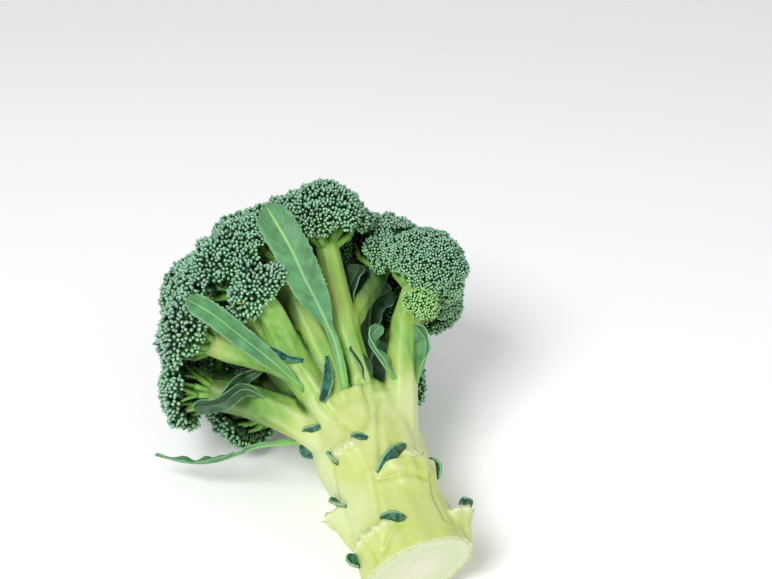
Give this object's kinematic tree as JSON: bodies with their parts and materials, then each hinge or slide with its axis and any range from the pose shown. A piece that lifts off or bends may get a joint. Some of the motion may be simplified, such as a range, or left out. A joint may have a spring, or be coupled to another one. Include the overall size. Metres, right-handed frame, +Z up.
{
  "type": "broccoli head",
  "caption": "Cut broccoli head lying on its side: knobbly stalk, spreading branches with bud heads, slim leaves between them and a small late side shoot.",
  "frame": {"origin": "bottom centre of the bounding box, on the surface that the head lies on", "axes": "+Z up; +Y runs from the cut end towards the crown, along the stalk as seen from above; +X across the crown"},
  "size_m": [0.1654, 0.2108, 0.1382],
  "materials": {
    "stalk": "pale yellow-green peeled stalk, smooth and faintly glossy",
    "branch": "light green branch, smooth and faintly glossy",
    "buds": "dark blue-green closed buds, matt with a waxy bloom",
    "late_buds": "light green young buds, matt",
    "leaf": "mid green leaf, matt waxy upper side, darker below",
    "leaf_stub": "dark green remnant of a cut leaf, matt"
  },
  "bodies": {
    "root": {"branch_back_left": "branch", "branch_back_lower_left": "branch", "branch_back_right": "branch", "branch_left": "branch", "branch_left_upper": "branch", "branch_rest": "branch", "branch_right": "branch", "branch_right_upper": "branch", "branch_top": "branch", "branch_top_left": "branch", "branch_under": "branch", "bud_head_back_left": "buds", "bud_head_back_lower_left": "buds", "bud_head_back_lower_right": "buds", "bud_head_back_right": "buds", "bud_head_back_under_left": "buds", "bud_head_crown_left": "buds", "bud_head_crown_right": "buds", "bud_head_crown_under": "buds", "bud_head_late_shoot": "late_buds", "bud_head_left": "buds", "bud_head_left_inner": "buds", "bud_head_left_lower": "buds", "bud_head_left_upper": "buds", "bud_head_rest_left": "buds", "bud_head_rest_right": "buds", "bud_head_right": "buds", "bud_head_right_shoulder": "buds", "bud_head_right_upper": "buds", "bud_head_top_left": "buds", "bud_head_top_right": "buds", "bud_head_under_left": "buds", "bud_head_under_middle": "buds", "bud_head_under_right": "buds", "leader": "branch", "leaf_bract": "leaf", "leaf_front_long": "leaf", "leaf_inner_dark": "leaf", "leaf_inner_left": "leaf", "leaf_inner_middle": "leaf", "leaf_inner_right": "leaf", "leaf_left_branch": "leaf", "leaf_left_inner": "leaf", "leaf_left_long": "leaf", "leaf_right_curl_left": "leaf", "leaf_right_curl_right": "leaf", "leaf_stub_1": "leaf_stub", "leaf_stub_10": "leaf_stub", "leaf_stub_2": "leaf_stub", "leaf_stub_3": "leaf_stub", "leaf_stub_4": "leaf_stub", "leaf_stub_5": "leaf_stub", "leaf_stub_6": "leaf_stub", "leaf_stub_7": "leaf_stub", "leaf_stub_8": "leaf_stub", "leaf_stub_9": "leaf_stub", "leaf_trailing": "leaf", "stalk": "stalk"}
  },
  "joints": []
}
